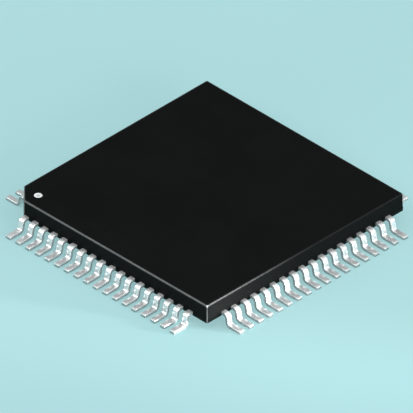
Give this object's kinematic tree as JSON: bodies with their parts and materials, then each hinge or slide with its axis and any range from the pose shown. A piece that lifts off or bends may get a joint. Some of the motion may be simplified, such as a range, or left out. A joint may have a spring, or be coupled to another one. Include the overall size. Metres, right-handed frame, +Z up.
{
  "type": "quad flat pack chip",
  "caption": "Thin square surface-mount chip package with gull-wing leads on all four sides, a chamfered pin-1 corner and a pin-1 dot.",
  "frame": {"origin": "centre of the seating plane, on the underside of the lead feet and under the middle of the body", "axes": "+Z up, out of the marked top face; X and Y along the body's sides; the chamfered pin-1 corner is at -X, +Y and the pins run counter-clockwise seen from above, down the -X side first"},
  "size_m": [0.0122, 0.0122, 0.0012],
  "materials": {
    "mould_compound": "matte black epoxy moulding compound with a fine mould texture",
    "marking_ink": "matt white ink in a shallow dimple",
    "tin_plated_lead": "satin tin plate over copper alloy, bare metal at the trimmed toes",
    "bare_copper_alloy": "bare stamped copper alloy",
    "die_adhesive": "cured silver-filled epoxy",
    "silicon": "sawn and polished silicon",
    "gold_wire": "drawn gold bond wire"
  },
  "bodies": {
    "root": {"body": "mould_compound", "pin1_dot": "marking_ink", "leads_west": "tin_plated_lead", "leads_south": "tin_plated_lead", "leads_east": "tin_plated_lead", "leads_north": "tin_plated_lead", "die_pad": "bare_copper_alloy", "die_attach": "die_adhesive", "die": "silicon", "wires_west": "gold_wire", "wires_south": "gold_wire", "wires_east": "gold_wire", "wires_north": "gold_wire"}
  },
  "joints": []
}
